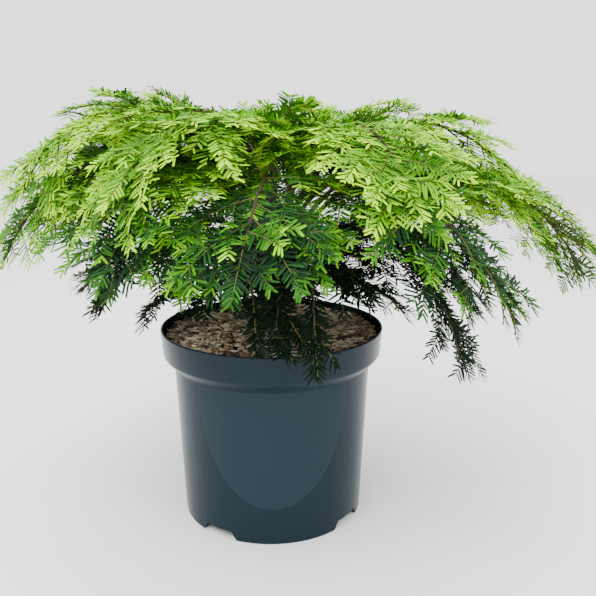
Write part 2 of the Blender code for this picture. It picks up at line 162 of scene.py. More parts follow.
# Trunk: its taper has radii at shares of its height, its last rings shrink to a cap, and the flare's
# turn is in radians
TRUNK_FOOT = 0.1703
TRUNK_HEIGHT = 0.0760
TRUNK_LEAN = 0.0050
TRUNK_LEAN_AZIMUTH = 20.0
TRUNK_TAPER = (
    (0.00, 0.0165),
    (0.06, 0.0130),
    (0.17, 0.0108),
    (0.40, 0.0094),
    (0.72, 0.0080),
    (1.00, 0.0062),
)
TRUNK_RINGS = 60
TRUNK_SIDES = 56
TRUNK_END = 1.06
TRUNK_CAP = (0.9, 0.6, 0.05)
FLARE_LOBES = 3
FLARE_DEPTH = 0.16
FLARE_TURN = 0.6
FLARE_FADE = 6
RIDGE_DEPTH = 0.05
PLATE_DEPTH = 0.035
TRUNK_SEED = 7

# Limbs, from inside the trunk, with the handles of their curves as shares of the reach
GAP = 0.0003
BOUGH_ROOT_RADIUS = 0.0024
BOUGH_TIP_RADIUS = 0.0006
BOUGH_TAPER = 0.8
BOUGH_RINGS = 44
BOUGH_SIDES = 10
BOUGH_RELIEF = 0.10
ROOT_STAGGER = 0.0060
ROOT_LEVELS = 3
LIMB_SINK = 0.0040
AZIMUTH_SPREAD = (-0.10, 0.10)
SWEEPS = (7.0, 13.0)
INNER_HANDLE = 0.16
OUTER_HANDLE = 0.78
FRAME_STEP = 0.004
LEAN_FADE = 3

# Bark and twigs
BARK_DARK = (0.020, 0.013, 0.008)
BARK_PALE = (0.080, 0.052, 0.028)
BARK_SCALE = 300.0
BARK_ROUGHNESS = 0.9
BARK_BUMP = 0.6
TWIG_COLOUR = (0.090, 0.095, 0.020)
TWIG_ROUGHNESS = 0.8

# Plain and mottled finishes
PLAIN_GLOSS = 0.28
MOTTLE_DETAIL = 8.0
MOTTLE_DEPTH = 0.001

# Twigs along a limb
TWIG_SPACING = 0.0066
TWIG_STEPS = 121
TWIG_ANGLES = (38.0, 66.0)
TWIG_LIFTS = (-0.45, 0.42)
TWIG_DROOPS = (0.10, 0.34)
TWIG_END_SIZE = 0.35
TWIG_THINNING = 0.8
TWIG_RADIUS = 0.0008
SIZE_SPREAD = (0.75, 1.15)

# Side shoots along a twig
SHOOT_SPACING = 0.0120
SHOOT_FREE_END = 0.018
SHOOT_ANGLES = (38.0, 58.0)
SHOOT_LIFTS = (-0.20, 0.30)
SHOOT_DROOP = 0.18
SHOOT_ROOT_SIZE = 0.46
SHOOT_SIZE_LOSS = 0.30
SHOOT_RADIUS = 0.0005

# Two shoots end a limb, from these shares before its end, and others cover its outer part
END_STARTS = (0.20, 0.10)
END_DROOP = 0.12
END_RADIUS = 0.0007
COVER_START = 0.34
COVER_STOP = 0.15
COVER_STEP = 0.07
COVER_LENGTH = 0.08
COVER_RADIUS = 0.0006

# Every shoot's tube, and the sizes tried until it keeps within the crown
TUBE_RINGS = 5
TUBE_SIDES = 4
TUBE_TAPER = 0.6
TRIED_SIZES = (1.0, 0.6, 0.35)

# Needles, in two rows, some of them turned up on top of the shoot
NEEDLE_LENGTH = 0.0130
NEEDLE_WIDTH = 0.0017
NEEDLE_SPACING = 0.0024
NEEDLE_STAGGER = 0.25
NEEDLE_SEEDS = 1 << 30
FEWEST_NEEDLES = 4
FIRST_NEEDLE = 0.05
NEEDLE_ANGLE = 66.0
NEEDLE_TIP_TURN = 30.0
NEEDLE_TURN_POWER = 3
NEEDLE_ANGLE_SPREAD = (-9.0, 9.0)
NEEDLE_LIFTS = (-0.08, 0.40)
NEEDLE_LENGTH_SPREAD = (0.80, 1.08)
NEEDLE_WIDTH_SPREAD = (0.85, 1.10)
NEEDLE_TIP_LOSS = 0.42
NEEDLE_LOSS_POWER = 4
NEEDLE_ROOT_SIZE = 0.75
NEEDLE_ROOT_GROWTH = 6.0
TOP_NEEDLE_SHARE = 0.26
TOP_NEEDLE_ANGLES = (18.0, 34.0)
TOP_NEEDLE_LIFTS = (0.5, 0.9)
TOP_NEEDLE_SIZE = 0.7

# One needle's form: a folded blade that bends down, widest between its neck and its shoulder
NEEDLE_BEND = 0.10
NEEDLE_FOLD = 0.22
NECK = 0.16
NECK_BEND = 0.03
SHOULDER = 0.86
SHOULDER_BEND = 0.74
SHOULDER_WIDTH = 0.85
SHOULDER_FOLD = 0.8
NEEDLE_TRIANGLES = ((0, 2, 1), (0, 3, 2), (4, 5, 7), (5, 6, 7))
NEEDLE_QUADS = ((1, 2, 5, 4), (2, 3, 6, 5))
NEEDLE_POINTS = 8
NEEDLES_A_PIECE = 23000

# Where the crown ends: the frame's box with a little room, and the room kept round the pot's rim
BOX_ROOM = 0.006
CROWN_LOW = np.array(CAD_LOW) - BOX_ROOM
CROWN_HIGH = np.array(CAD_HIGH) + BOX_ROOM
RIM_CLEAR_RADIUS = 0.106
RIM_CLEAR_HEIGHT = 0.178
RIM_CLEAR_STEPS = 9

# The open front below the crown, where the soil shows: most low shoots there are left out
WINDOW_FRONT = -0.030
WINDOW_HALF_WIDTH = 0.120
WINDOW_TOP = 0.212
WINDOW_SHARE = 0.80

# Lowest height of the hanging tips 130 mm from the middle, in eight directions, and its rise,
# and how a limb is searched for the share where it meets that edge
HANG_HEIGHTS = (0.112, 0.120, 0.130, 0.150, 0.172, 0.190, 0.196, 0.124)
HANG_DISTANCE = 0.130
HANG_RISE = 0.75
HANG_START = 0.55
HANG_STEPS = 24

# Light of a spray, by its tier, height, distance and how far it stands to the side
LIGHT_BASE = -0.16
LIGHT_BY_TIER = 0.30
LIGHT_BY_HEIGHT = 0.46
LIGHT_BY_DISTANCE = 0.12
LIGHT_BY_SIDE = 0.24
LIGHT_HEIGHT = 0.23
LIGHT_HEIGHT_RANGE = 0.13
LIGHT_DISTANCE_RANGE = 0.24
LIGHT_SIDE = 0.10
LIGHT_SIDE_RANGE = 0.15
LIMB_END_LIGHT = 0.10
TWIG_LIGHTS = (-0.16, 0.16)
SHOOT_LIGHTS = (-0.05, 0.08)
NEEDLE_LIGHTS = (-0.06, 0.06)

# Young tips are lighter in their own colour; the extra lightness on the upper tiers is painted light
YOUNG_START = 0.50
YOUNG_AND_LIT_LIGHT = 0.42
YOUNG_LIGHT_BELOW = 0.12
UPPER_TIER_LIGHT = 0.5

# Shade below the middle of the crown
SHADE_DEPTH = 6.5
SHADE_TOP = 0.285
SHADE_HALF_WIDTH = 0.19
SHADE_FADE = 0.06

# Needle colours with painted light and shade, from the shaded inside to the lit top and young tips
NEEDLE_ROUGHNESS = 0.55
NEEDLE_GLOSS = 0.10
SHADES = (
    (0.002, 0.012, 0.004),
    (0.004, 0.026, 0.006),
    (0.009, 0.055, 0.007),
    (0.022, 0.110, 0.004),
    (0.050, 0.190, 0.002),
    (0.115, 0.330, 0.001),
    (0.210, 0.500, 0.001),
    (0.360, 0.700, 0.002),
)

# Tiers of limbs: starting azimuth, root height, shares where the bare part ends and the twigs begin,
# twig length, light, and arch height, reach and tip height in eight directions from +X. All but the
# light is as in the solids
TIERS = {
    "crest": {
        "count": 7,
        "azimuth": -110.0,
        "root": 0.2300,
        "bare": 0.26,
        "leafy": 0.26,
        "twig": 0.085,
        "light": 1.00,
        "arch": (0.352, 0.352, 0.356, 0.362, 0.364, 0.362, 0.352, 0.350),
        "reach": (0.215, 0.205, 0.200, 0.205, 0.215, 0.200, 0.185, 0.200),
        "tip": (0.305, 0.310, 0.310, 0.316, 0.318, 0.300, 0.290, 0.290),
    },
    "heart": {
        "count": 3,
        "azimuth": 20.0,
        "root": 0.2330,
        "bare": 0.0,
        "leafy": 0.42,
        "twig": 0.060,
        "light": 0.90,
        "arch": (0.344, 0.344, 0.346, 0.350, 0.350, 0.350, 0.346, 0.344),
        "reach": (0.080, 0.080, 0.080, 0.080, 0.080, 0.080, 0.080, 0.080),
        "tip": (0.338, 0.338, 0.340, 0.344, 0.344, 0.344, 0.340, 0.338),
    },
    "shoulder": {
        "count": 10,
        "azimuth": -128.0,
        "root": 0.2070,
        "bare": 0.33,
        "leafy": 0.33,
        "twig": 0.092,
        "light": 0.72,
        "arch": (0.320, 0.320, 0.322, 0.328, 0.332, 0.324, 0.312, 0.312),
        "reach": (0.275, 0.258, 0.250, 0.258, 0.250, 0.220, 0.195, 0.235),
        "tip": (0.230, 0.225, 0.225, 0.235, 0.240, 0.226, 0.240, 0.226),
    },
    "skirt": {
        "count": 8,
        "azimuth": -155.0,
        "root": 0.1880,
        "bare": 0.33,
        "leafy": 0.33,
        "twig": 0.075,
        "light": 0.22,
        "arch": (0.262, 0.256, 0.252, 0.252, 0.254, 0.252, 0.252, 0.256),
        "reach": (0.215, 0.195, 0.185, 0.190, 0.175, 0.160, 0.125, 0.155),
        "tip": (0.160, 0.155, 0.158, 0.168, 0.200, 0.196, 0.188, 0.134),
    },
    "inner": {
        "count": 4,
        "azimuth": -88.0,
        "root": 0.1770,
        "bare": 0.0,
        "leafy": 0.2,
        "twig": 0.048,
        "light": 0.10,
        "arch": (0.214, 0.212, 0.210, 0.210, 0.210, 0.212, 0.212, 0.214),
        "reach": (0.120, 0.115, 0.115, 0.115, 0.115, 0.115, 0.115, 0.125),
        "tip": (0.182, 0.184, 0.186, 0.186, 0.186, 0.184, 0.182, 0.182),
    },
}

# Rows of needles: feet, directions, upper sides, lengths, widths and light
Needles = namedtuple("Needles", "points towards over sizes widths light")


class Shoot(namedtuple("Shoot", "root ahead up length droop")):
    """A thin shoot that starts straight ahead and droops towards its tip."""

    def line(self, shares):
        """Points and directions at shares of the shoot's length."""
        drops = np.outer(shares * shares * self.length * self.droop, UP)
        points = self.root + np.outer(shares * self.length, self.ahead) - drops
        tangents = units(self.ahead[None, :] - np.outer(2.0 * shares * self.droop, UP))
        return points, tangents

    def tip(self):
        """The shoot's last point."""
        return self.line(np.array([1.0]))[0][0]

    def sized(self, factor):
        """The same shoot at a factor of its length."""
        return self._replace(length=factor * self.length)

    def clear_of_pot(self):
        """Whether the shoot, with half a needle more, stays outside or above the pot's rim."""
        reaching = self._replace(length=self.length + 0.5 * NEEDLE_LENGTH)
        points, _ = reaching.line(np.linspace(0.0, 1.0, RIM_CLEAR_STEPS))
        distance = np.hypot(points[:, 0], points[:, 1])
        return not np.any((distance < RIM_CLEAR_RADIUS) & (points[:, 2] < RIM_CLEAR_HEIGHT))

    def in_window(self):
        """Whether the tip would hang in the open front below the crown."""
        across, depth, height = self.tip()
        return depth < WINDOW_FRONT and abs(across) < WINDOW_HALF_WIDTH and height < WINDOW_TOP

    def fitted(self):
        """The shoot at a size that keeps it in the crown and off the pot, or None."""
        for factor in TRIED_SIZES:
            shoot = self.sized(factor)
            if not leaves_crown(shoot.tip()) and shoot.clear_of_pot():
                return shoot
        return None

    def tube(self, radius):
        """Points and quads of the shoot's thin tube."""
        shares = np.linspace(0.0, 1.0, TUBE_RINGS)
        points, tangents = self.line(shares)
        side = units(np.cross(tangents, self.up))
        over = np.cross(side, tangents)
        return rings_to_tube(points, side, over, radius * (1.0 - TUBE_TAPER * shares), TUBE_SIDES)


class Limb:
    """One arching limb of the part, worked out by the same rule as its solids."""

    def __init__(self, tier, number, sizes):
        rule = random.Random(f"{tier}:{number}")
        turn = 360.0 / sizes["count"]
        self.name = f"{tier}_{number + 1}"
        self.azimuth = sizes["azimuth"] + turn * (number + rule.uniform(*AZIMUTH_SPREAD))
        self.sweep = rule.choice((-1, 1)) * rule.uniform(*SWEEPS)
        self.root = sizes["root"] + ROOT_STAGGER * ((number * 2) % ROOT_LEVELS)
        tip_azimuth = self.azimuth + self.sweep
        self.arch = compass(sizes["arch"], tip_azimuth)
        self.reach = compass(sizes["reach"], tip_azimuth)
        self.tip = compass(sizes["tip"], tip_azimuth)
        self.bare = sizes["bare"]
        self.leafy = sizes["leafy"]
        self.twig = sizes["twig"]
        self.light = sizes["light"]

    def points(self, shares):
        """Points along the limb's curve, a cubic that rises, arches and hangs."""
        t = np.asarray(shares, float)
        # The middle of a cubic is an eighth of each end and three quarters of two equal handles
        crown = (self.arch - 0.125 * (self.root + self.tip)) / 0.75
        start = trunk_radius(self.root) + GAP + BOUGH_ROOT_RADIUS - LIMB_SINK
        inner = INNER_HANDLE * self.reach
        outer = OUTER_HANDLE * self.reach
        distance = cubic(t, start, inner, outer, self.reach)
        height = cubic(t, self.root, crown, crown, self.tip)
        angle = np.radians(self.azimuth + self.sweep * t * t)
        lean = np.asarray(trunk_centre(self.root))
        across = np.stack([np.cos(angle), np.sin(angle), np.zeros_like(t)], -1)
        across = across * distance[..., None] + lean * ((1.0 - t) ** LEAN_FADE)[..., None]
        return across + UP * height[..., None]

    def frame(self, share):
        """The curve's direction, its level side direction and its upper side."""
        ends = [max(share - FRAME_STEP, 0.0), min(share + FRAME_STEP, 1.0)]
        before, after = self.points(np.array(ends))
        ahead = unit(after - before)
        side = unit(np.cross(ahead, UP))
        return ahead, side, np.cross(side, ahead)

    def last_share(self):
        """The share at which the limb would hang below the crown's edge, or 1."""
        for share in np.linspace(HANG_START, 1.0, HANG_STEPS):
            if leaves_crown(self.points(np.array([share]))[0]):
                return float(share)
        return 1.0

    def twigs(self):
        """Side twigs along the leafy part, closer together than on the solids, and their rules."""
        shares = np.linspace(self.leafy, 1.0, TWIG_STEPS)
        steps = np.linalg.norm(np.diff(self.points(shares), axis=0), axis=1)
        lengths = np.concatenate([[0.0], np.cumsum(steps)])
        count = int(lengths[-1] / TWIG_SPACING)
        for number in range(count):
            rule = random.Random(f"{self.name}:{number}:fine")
            run = (number + 0.5) / count
            share = float(np.interp(run * lengths[-1], lengths, shares))
            ahead, side, up = self.frame(share)
            towards = sideways(rule, number, ahead, side, up, TWIG_ANGLES, TWIG_LIFTS)
            fullness = TWIG_END_SIZE + (1.0 - TWIG_END_SIZE) * (1.0 - run) ** TWIG_THINNING
            length = self.twig * fullness * rule.uniform(*SIZE_SPREAD)
            droop = rule.uniform(*TWIG_DROOPS)
            root = self.points(np.array([share]))[0]
            yield rule, Shoot(root, towards, up, length, droop)


def unit(vector):
    """A vector of length one."""
    return vector / np.linalg.norm(vector)


def units(vectors):
    """Vectors of length one."""
    return vectors / np.linalg.norm(vectors, axis=-1, keepdims=True)


def cubic(t, a, b, c, d):
    """A cubic Bezier value."""
    s = 1.0 - t
    return s * s * s * a + 3.0 * s * s * t * b + 3.0 * s * t * t * c + t * t * t * d


def compass(values, azimuth):
    """A size for one direction, read between the eight that are given."""
    step = 360.0 / len(values)
    place = (azimuth % 360.0) / step
    first = int(place) % len(values)
    return values[first] + (place - int(place)) * (values[(first + 1) % len(values)] - values[first])


def sideways(rule, number, ahead, side, up, angles, lifts):
    """The direction of a side shoot: right and left in turn, spread and lifted by the rule."""
    hand = 1.0 if number % 2 else -1.0
    angle = math.radians(rule.uniform(*angles))
    lift = rule.uniform(*lifts)
    return unit(math.cos(angle) * ahead + hand * math.sin(angle) * side + lift * up)


def leaves_crown(point):
    """Whether a point lies outside the frame's box or below the crown's edge."""
    edge = compass(HANG_HEIGHTS, math.degrees(math.atan2(point[1], point[0])))
    edge += HANG_RISE * (math.hypot(point[0], point[1]) - HANG_DISTANCE)
    return bool(np.any(point < CROWN_LOW) or np.any(point > CROWN_HIGH) or point[2] < edge)


def trunk_centre(height):
    """How far the leaning trunk's middle lies from the pot's axis at a height."""
    angle = math.radians(TRUNK_LEAN_AZIMUTH)
    offset = TRUNK_LEAN * max(0.0, height - TRUNK_FOOT) / TRUNK_HEIGHT
    return (math.cos(angle) * offset, math.sin(angle) * offset, 0.0)


def trunk_radius(height):
    """The trunk's radius at a height."""
    shares, radii = zip(*TRUNK_TAPER)
    return float(np.interp((height - TRUNK_FOOT) / TRUNK_HEIGHT, shares, radii))


def soil_height(radius):
    """The soil's height at a distance from the pot's axis."""
    share = np.clip((SOIL_RADIUS - radius) / (SOIL_RADIUS - SOIL_FLAT), 0.0, 1.0)
    return SOIL_EDGE + np.sin(0.5 * math.pi * share) * (SOIL_MIDDLE - SOIL_EDGE)


def mesh_piece(name, points, faces, finish, smooth=True):
    """A piece of the scene from points and from arrays of faces with equal corner counts."""
    mesh = bpy.data.meshes.new(name)
    mesh.vertices.add(len(points))
    mesh.vertices.foreach_set("co", np.asarray(points, np.float32).ravel())
    corners = np.concatenate([np.asarray(group, np.int32).ravel() for group in faces])
    sizes = np.concatenate([np.full(len(group), np.asarray(group).shape[1]) for group in faces])
    starts = np.concatenate([[0], np.cumsum(sizes)[:-1]])
    mesh.loops.add(len(corners))
    mesh.loops.foreach_set("vertex_index", corners)
    mesh.polygons.add(len(sizes))
    mesh.polygons.foreach_set("loop_start", starts.astype(np.int32))
    mesh.update(calc_edges=True)
    mesh.validate()
    if smooth:
        mesh.shade_smooth()
    mesh.materials.append(finish)
    piece = bpy.data.objects.new(name, mesh)
    bpy.context.scene.collection.objects.link(piece)
    return piece


class Finish:
    """A Principled material, with short ways to add the nodes that change it."""

    def __init__(self, name, colour, roughness, gloss=PLAIN_GLOSS):
        self.material = bpy.data.materials.new(name)
        self.material.use_nodes = True
        self.nodes = self.material.node_tree.nodes
        self.links = self.material.node_tree.links
        self.inputs = self.nodes["Principled BSDF"].inputs
        self.inputs["Base Color"].default_value = (*colour, 1.0)
        self.inputs["Roughness"].default_value = roughness
        self.inputs["Specular IOR Level"].default_value = gloss
        self.place = self.nodes.new("ShaderNodeTexCoord").outputs["Object"]

    def noise(self, scale, detail):
        """A noise value that follows the piece."""
        node = self.nodes.new("ShaderNodeTexNoise")
        node.inputs["Scale"].default_value = scale
        node.inputs["Detail"].default_value = detail
        self.links.new(self.place, node.inputs["Vector"])
        return node.outputs["Fac"]

    def calculate(self, kind, *values):
        """The result of a math node on numbers and other nodes' values."""
        node = self.nodes.new("ShaderNodeMath")
        node.operation = kind
        for value, socket in zip(values, node.inputs):
            if isinstance(value, (int, float)):
                socket.default_value = value
            else:
                self.links.new(value, socket)
        return node.outputs[0]

    def blend(self, share, first, second):
        """Let the base colour run from one colour to another."""
        mix = self.nodes.new("ShaderNodeMix")
        mix.data_type = "RGBA"
        mix.inputs["A"].default_value = (*first, 1.0)
        mix.inputs["B"].default_value = (*second, 1.0)
        self.links.new(share, mix.inputs["Factor"])
        self.links.new(mix.outputs["Result"], self.inputs["Base Color"])

    def relief(self, height, strength, depth):
        """Let the surface rise and fall with a value."""
        bump = self.nodes.new("ShaderNodeBump")
        bump.inputs["Strength"].default_value = strength
        bump.inputs["Distance"].default_value = depth
        self.links.new(height, bump.inputs["Height"])
        self.links.new(bump.outputs["Normal"], self.inputs["Normal"])


def plain_finish(name, colour, roughness, gloss=PLAIN_GLOSS):
    """A material in one plain colour."""
    return Finish(name, colour, roughness, gloss).material


def mottled_finish(name, dark, pale, scale, roughness, bump):
    """A material whose colour and relief follow noise."""
    finish = Finish(name, dark, roughness)
    noise = finish.noise(scale, MOTTLE_DETAIL)
    finish.blend(noise, dark, pale)
    finish.relief(noise, bump, MOTTLE_DEPTH)
    return finish.material


def panel_mask(finish):
    """One on the half-oval panel in the middle of the pot's front, and nothing elsewhere."""
    split = finish.nodes.new("ShaderNodeSeparateXYZ")
    finish.links.new(finish.place, split.inputs["Vector"])
    across = split.outputs["X"]
    height = split.outputs["Z"]
    front = finish.calculate("MULTIPLY", split.outputs["Y"], -1.0)
    share = finish.calculate("DIVIDE", finish.calculate("ARCTAN2", across, front), PANEL_HALF_ANGLE)
    square = finish.calculate("MULTIPLY", share, share)
    left = finish.calculate("MAXIMUM", finish.calculate("SUBTRACT", 1.0, square), 0.0)
    depth = finish.calculate("MULTIPLY", finish.calculate("SQRT", left), PANEL_TOP - PANEL_BOTTOM)
    edge = finish.calculate("SUBTRACT", PANEL_TOP, depth)
    above = finish.calculate("GREATER_THAN", finish.calculate("SUBTRACT", height, edge), 0.0)
    between = finish.calculate("LESS_THAN", finish.calculate("ABSOLUTE", share), 1.0)
    below_collar = finish.calculate("LESS_THAN", height, PANEL_TOP)
    return finish.calculate("MULTIPLY", finish.calculate("MULTIPLY", above, between), below_collar)


def pot_finish():
    """Blue-grey moulded plastic: glossy, with a matt, paler panel on its front."""
    finish = Finish("pot_plastic_detail", POT_COLOUR, POT_ROUGHNESS, POT_GLOSS)
    panel = panel_mask(finish)
    noise = finish.noise(POT_GRAIN_SCALE, POT_GRAIN_DETAIL)
    grain = finish.calculate("MULTIPLY", noise, POT_GRAIN_TONE)
    finish.blend(finish.calculate("ADD", grain, panel), POT_COLOUR, PANEL_COLOUR)
    matt = finish.calculate("MULTIPLY", panel, PANEL_MATT)
    rough = finish.calculate("ADD", matt, POT_ROUGHNESS)
    finish.links.new(rough, finish.inputs["Roughness"])
    finish.relief(noise, POT_GRAIN_BUMP, POT_GRAIN_DEPTH)
    return finish.material


def turned(profile):
    """A closed shape turned from (radius, height) points, the first and last on the axis."""
    points = [(0.0, 0.0, profile[0][1])]
    faces = []
    for radius, height in profile[1:-1]:
        for i in range(POT_SIDES):
            angle = 2.0 * math.pi * i / POT_SIDES
            points.append((radius * math.cos(angle), radius * math.sin(angle), height))
    points.append((0.0, 0.0, profile[-1][1]))
    rings = len(profile) - 2
    for i in range(POT_SIDES):
        after = (i + 1) % POT_SIDES
        faces.append((0, 1 + after, 1 + i))
        for ring in range(rings - 1):
            low = 1 + ring * POT_SIDES
            high = low + POT_SIDES
            faces.append((low + i, low + after, high + after, high + i))
        last = 1 + (rings - 1) * POT_SIDES
        faces.append((last + i, last + after, len(points) - 1))
    return points, faces


def helper_object(name, shape):
    """An object from points and faces, with its faces turned outwards."""
    points, faces = shape
    mesh = bpy.data.meshes.new(name)
    work = bmesh.new()
    corners = [work.verts.new(point) for point in points]
    for face in faces:
        work.faces.new([corners[i] for i in face])
    bmesh.ops.recalc_face_normals(work, faces=work.faces)
    work.to_mesh(mesh)
    work.free()
    made = bpy.data.objects.new(name, mesh)
    bpy.context.scene.collection.objects.link(made)
    return made


def cut(item, other):
    """Cut one object out of another and remove it."""
    change = item.modifiers.new("cut", "BOOLEAN")
    change.operation = "DIFFERENCE"
    change.object = other
    graph = bpy.context.evaluated_depsgraph_get()
    shape = bpy.data.meshes.new_from_object(item.evaluated_get(graph))
    item.modifiers.clear()
    item.data = shape
    bpy.data.objects.remove(other, do_unlink=True)


def pot_outside():
    """The pot's outer profile: foot, body, shoulder, collar and rounded rim."""
    return [
        (0.0, 0.0),
        (BASE_RADIUS - EDGE, 0.0),
        (BASE_RADIUS, EDGE),
        (BODY_TOP_RADIUS, BODY_TOP),
        (BODY_TOP_RADIUS + BODY_LIP, BODY_TOP + BODY_LIP_HEIGHT),
        (COLLAR_RADIUS - SHOULDER_INSET * EDGE, BODY_TOP + SHOULDER_HEIGHT),
        (COLLAR_RADIUS - COLLAR_INSET * EDGE, COLLAR_BOTTOM - COLLAR_BEND),
        (COLLAR_RADIUS, COLLAR_BOTTOM),
        (RIM_RADIUS, POT_HEIGHT - EDGE),
        (RIM_RADIUS - EDGE_INSET * EDGE, POT_HEIGHT - EDGE_INSET * EDGE),
        (RIM_RADIUS - EDGE, POT_HEIGHT),
        (0.0, POT_HEIGHT),
    ]


def pot_inside():
    """The profile of the pot's cavity, open at the top."""
    above = POT_HEIGHT + CUT_ROOM
    return [
        (0.0, FLOOR),
        (BASE_RADIUS - WALL, FLOOR),
        (BODY_TOP_RADIUS - WALL, BODY_TOP + WALL),
        (COLLAR_RADIUS - SHOULDER_INSET * EDGE - WALL, BODY_TOP + SHOULDER_HEIGHT + WALL),
        (COLLAR_RADIUS - WALL, COLLAR_BOTTOM + WALL),
        (RIM_RADIUS - WALL, POT_HEIGHT - EDGE),
        (RIM_RADIUS - WALL, above),
        (0.0, above),
    ]


def recess_shape(azimuth, growth):
    """The wedge-sided space between two feet, enlarged by the thickness of what surrounds it."""
    angle = math.radians(azimuth)
    out = Vector((math.cos(angle), math.sin(angle), 0.0))
    side = Vector((-math.sin(angle), math.cos(angle), 0.0))
    slope = RECESS_SLANT / RECESS_HEIGHT
    points = []
    for distance in (RECESS_INNER - growth, RIM_RADIUS):
        for height in (-CUT_ROOM, RECESS_HEIGHT + growth):
            half = RECESS_HALF_WIDTH + growth - slope * (height - growth)
            for hand in (-1, 1):
                points.append(out * distance + side * (hand * half) + Vector((0.0, 0.0, height)))
    faces = [(0, 1, 3, 2), (4, 6, 7, 5), (0, 4, 5, 1), (2, 3, 7, 6), (0, 2, 6, 4), (1, 5, 7, 3)]
    return points, faces


def make_pot():
    """The pot, finely turned, with rounded edges and the recesses between its feet."""
    pot = helper_object("pot_shell", turned(pot_outside()))
    cavity = helper_object("cavity", turned(pot_inside()))
    azimuths = [RECESS_AZIMUTH + 360.0 * i / RECESSES for i in range(RECESSES)]
    for azimuth in azimuths:
        cut(cavity, helper_object("block", recess_shape(azimuth, FLOOR)))
    cut(pot, cavity)
    for azimuth in azimuths:
        cut(pot, helper_object("recess", recess_shape(azimuth, 0.0)))
    pot.data.shade_smooth()
    pot.data.set_sharp_from_angle(angle=math.radians(SHARP_ANGLE))
    pot.data.materials.clear()
    pot.data.materials.append(pot_finish())
    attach(pot, "root")
    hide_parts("pot")


def finish_soil():
    """A dark, crumbly finish on the soil's own solid."""
    soil = bpy.data.objects["soil"]
    finish = mottled_finish("soil_detail", SOIL_DARK, SOIL_PALE, SOIL_SCALE, SOIL_ROUGHNESS, SOIL_BUMP)
    soil.data.materials.clear()
    soil.data.materials.append(finish)


def chip_blocks(noise):
    """Eight corners of each bark chip, splinter and fibre that lies on the soil."""
    radius = SOIL_RADIUS * np.sqrt(noise.uniform(0.0, 1.0, CHIPS))
    angle = noise.uniform(0.0, 2.0 * math.pi, CHIPS)
    length = noise.uniform(*CHIP_LENGTHS, CHIPS)
    width = noise.uniform(*CHIP_WIDTHS, CHIPS) * length
    thick = noise.uniform(*CHIP_THICKNESSES, CHIPS)
    radius = np.minimum(radius, SOIL_RADIUS - 0.5 * length)
    height = soil_height(radius) + noise.uniform(*CHIP_HEIGHTS, CHIPS)
    centre = np.stack([radius * np.cos(angle), radius * np.sin(angle), height], -1)
    turn = noise.uniform(0.0, 2.0 * math.pi, CHIPS)
    tilt = noise.uniform(*CHIP_TILTS, CHIPS)
    ahead = np.stack([np.cos(turn) * np.cos(tilt), np.sin(turn) * np.cos(tilt), np.sin(tilt)], -1)
    side = units(np.cross(ahead, UP))
    over = np.cross(side, ahead)
    corners = []
    for along, across in ((-1, -1), (1, -1), (1, 1), (-1, 1)):
        for level in (-1, 1):
            skew = noise.uniform(*CHIP_CORNERS, (CHIPS, 3))
            corner = centre + ahead * (0.5 * along * length * skew[:, 0])[:, None]
            corner = corner + side * (0.5 * across * width * skew[:, 1])[:, None]
            corners.append(corner + over * (0.5 * level * thick * skew[:, 2])[:, None])
    return np.stack(corners, 1)


def make_mulch():
    """The chips on the soil, joined by shade."""
    noise = np.random.RandomState(CHIP_SEED)
    blocks = chip_blocks(noise)
    amounts = [amount for _, amount, _ in MULCH_SHADES]
    kind = noise.choice(len(MULCH_SHADES), CHIPS, p=amounts)
    for index, (name, _, colour) in enumerate(MULCH_SHADES):
        some = np.nonzero(kind == index)[0]
        base = np.arange(len(some))[:, None, None] * CHIP_POINTS
        faces = (base + np.array(CHIP_FACES)[None]).reshape(-1, 4)
        dark = tuple(CHIP_DARKENING * value for value in colour)
        finish = mottled_finish(name, dark, colour, CHIP_SCALE, CHIP_ROUGHNESS, CHIP_BUMP)
        piece = mesh_piece(name, blocks[some].reshape(-1, 3), [faces], finish, smooth=False)
        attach(piece, "root")


def rings_to_tube(centres, sides_a, sides_b, radii, count, relief=None):
    """Points and quads of an open tube: one ring of points round each centre."""
    angles = 2.0 * math.pi * np.arange(count) / count
    spread = radii[:, None] * np.ones(count)
    if relief is not None:
        spread = spread * relief
    across = np.cos(angles)[None, :, None] * sides_a[:, None, :]
    across = across + np.sin(angles)[None, :, None] * sides_b[:, None, :]
    points = (centres[:, None, :] + spread[..., None] * across).reshape(-1, 3)
    ring = np.arange(len(centres) - 1)[:, None] * count
    first = np.arange(count)[None, :]
    after = (first + 1) % count
    quads = np.stack([ring + first, ring + after, ring + after + count, ring + first + count], -1)
    return points, quads.reshape(-1, 4)


def join_tubes(tubes):
    """Points and quads of many tubes as one mesh."""
    offset = 0
    points = []
    quads = []
    for tube_points, tube_quads in tubes:
        points.append(tube_points)
        quads.append(tube_quads + offset)
        offset += len(tube_points)
    return np.concatenate(points), np.concatenate(quads)


def limb_tube(limb):
    """A limb with its bark's relief, from inside the trunk to where it would hang too low."""
    shares = np.linspace(0.0, limb.last_share(), BOUGH_RINGS)
    frames = [limb.frame(share) for share in shares]
    side = np.array([row[1] for row in frames])
    up = np.array([row[2] for row in frames])
    taper = (BOUGH_ROOT_RADIUS - BOUGH_TIP_RADIUS) * (1.0 - shares) ** BOUGH_TAPER
    noise = np.random.RandomState(sum(map(ord, limb.name)))
    relief = 1.0 + BOUGH_RELIEF * noise.uniform(-1.0, 1.0, (len(shares), BOUGH_SIDES))
    return rings_to_tube(limb.points(shares), side, up, BOUGH_TIP_RADIUS + taper, BOUGH_SIDES, relief)


